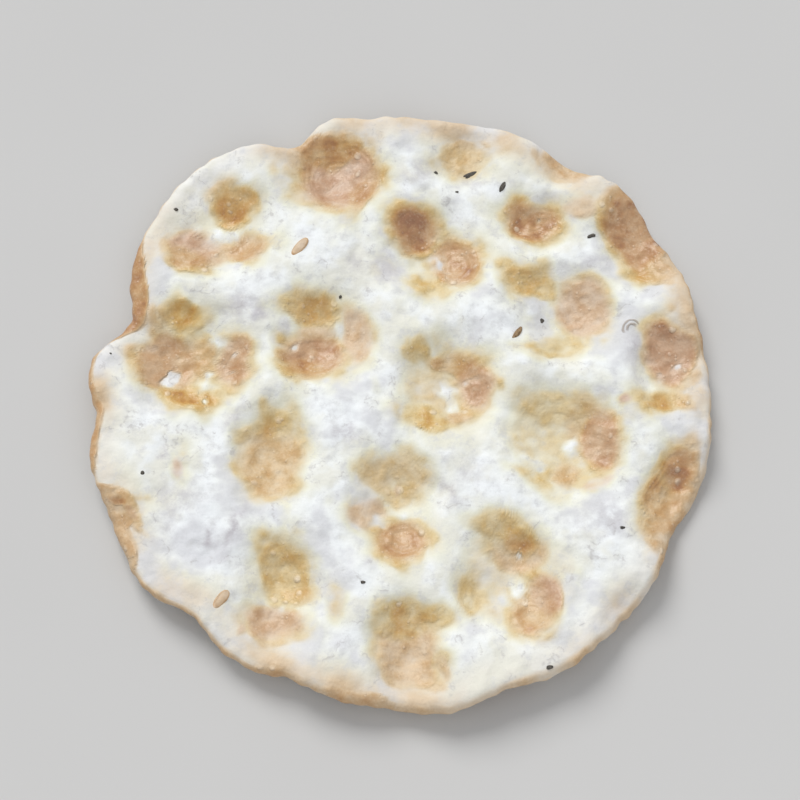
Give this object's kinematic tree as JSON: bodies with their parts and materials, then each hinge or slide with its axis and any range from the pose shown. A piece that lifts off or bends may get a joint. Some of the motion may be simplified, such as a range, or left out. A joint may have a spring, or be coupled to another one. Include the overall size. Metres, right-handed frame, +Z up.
{
  "type": "flatbread",
  "caption": "Thin round flatbread baked between hot pebbles: one wavy sheet of pale dough with browned bowls pressed into both faces, a soft uneven edge and baked-in seeds",
  "frame": {"origin": "On the surface that the bread lies on, under the middle of its outline's box", "axes": "+Z up through the shown face, +Y towards the far edge as the bread is looked at, +X to the right"},
  "size_m": [0.1716, 0.174, 0.0102],
  "materials": {
    "crust": "floury baked dough, pale with golden to brown prints",
    "seed": "dry toasted seed",
    "herb": "dark dried leaf and pepper"
  },
  "bodies": {
    "root": {"flatbread": "crust"}
  },
  "joints": []
}
